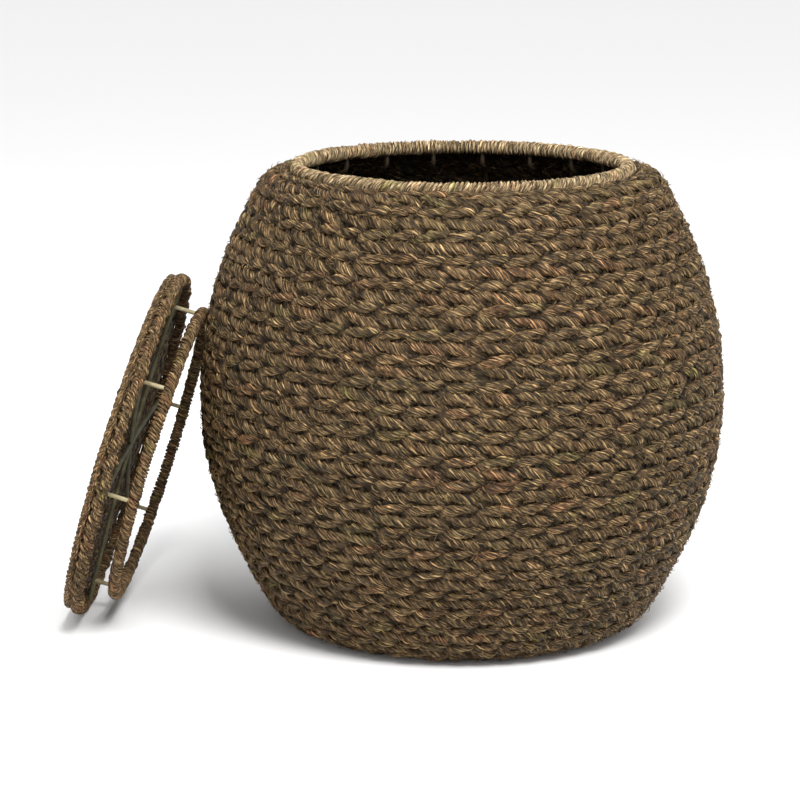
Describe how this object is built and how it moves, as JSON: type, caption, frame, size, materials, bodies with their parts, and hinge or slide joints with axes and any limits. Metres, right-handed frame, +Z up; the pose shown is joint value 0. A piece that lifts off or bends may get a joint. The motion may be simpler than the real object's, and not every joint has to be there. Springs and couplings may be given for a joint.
{
  "type": "woven laundry basket",
  "caption": "Round-bellied seagrass laundry basket with a wrapped open mouth, its lift-off lid leaning against the side.",
  "frame": {"origin": "centre of the basket's underside, on the basket's axis", "axes": "+Z up along the basket's axis; the lid leans on the -X side; -Y is the side seen in the picture"},
  "size_m": [0.6557, 0.52, 0.461],
  "materials": {
    "seagrass_weave": "matte",
    "seagrass_panel": "matte",
    "seagrass_wrap": "matte",
    "cane_strip": "satin",
    "coated_wire": "satin"
  },
  "bodies": {
    "basket": {"base_hoop": "coated_wire", "mouth_hoop": "coated_wire", "mouth_wrap": "seagrass_wrap", "wall_rib_01": "coated_wire", "wall_rib_02": "coated_wire", "wall_rib_03": "coated_wire", "wall_rib_04": "coated_wire", "wall_rib_05": "coated_wire", "wall_rib_06": "coated_wire", "wall_rib_07": "coated_wire", "wall_rib_08": "coated_wire", "wall_rib_09": "coated_wire", "wall_rib_10": "coated_wire", "wall_rib_11": "coated_wire", "wall_rib_12": "coated_wire", "wall_rib_13": "coated_wire", "wall_rib_14": "coated_wire", "wall_rib_15": "coated_wire", "wall_rib_16": "coated_wire", "wall_rib_17": "coated_wire", "wall_rib_18": "coated_wire", "wall_rib_19": "coated_wire", "wall_rib_20": "coated_wire", "woven_base": "seagrass_weave", "woven_belly": "seagrass_weave", "woven_foot": "seagrass_weave", "woven_lower_wall": "seagrass_weave", "woven_shoulder": "seagrass_weave", "woven_upper_wall": "seagrass_weave"},
    "lid": {"lid_edge_braid": "seagrass_wrap", "lid_hoop": "cane_strip", "lid_panel": "seagrass_panel", "lid_post_1": "coated_wire", "lid_post_2": "coated_wire", "lid_post_3": "coated_wire", "lid_post_4": "coated_wire", "lid_post_5": "coated_wire", "lid_post_6": "coated_wire", "lid_rim_wrap": "seagrass_wrap", "lid_spoke_1": "coated_wire", "lid_spoke_2": "coated_wire", "lid_spoke_3": "coated_wire", "seat_ring": "coated_wire", "seat_wrap": "seagrass_wrap"}
  },
  "joints": [
    {"name": "lid_lift", "type": "slide", "parent": "basket", "child": "lid", "axis": [0, 0, 1], "range_m": [0, 0.48]}
  ]
}
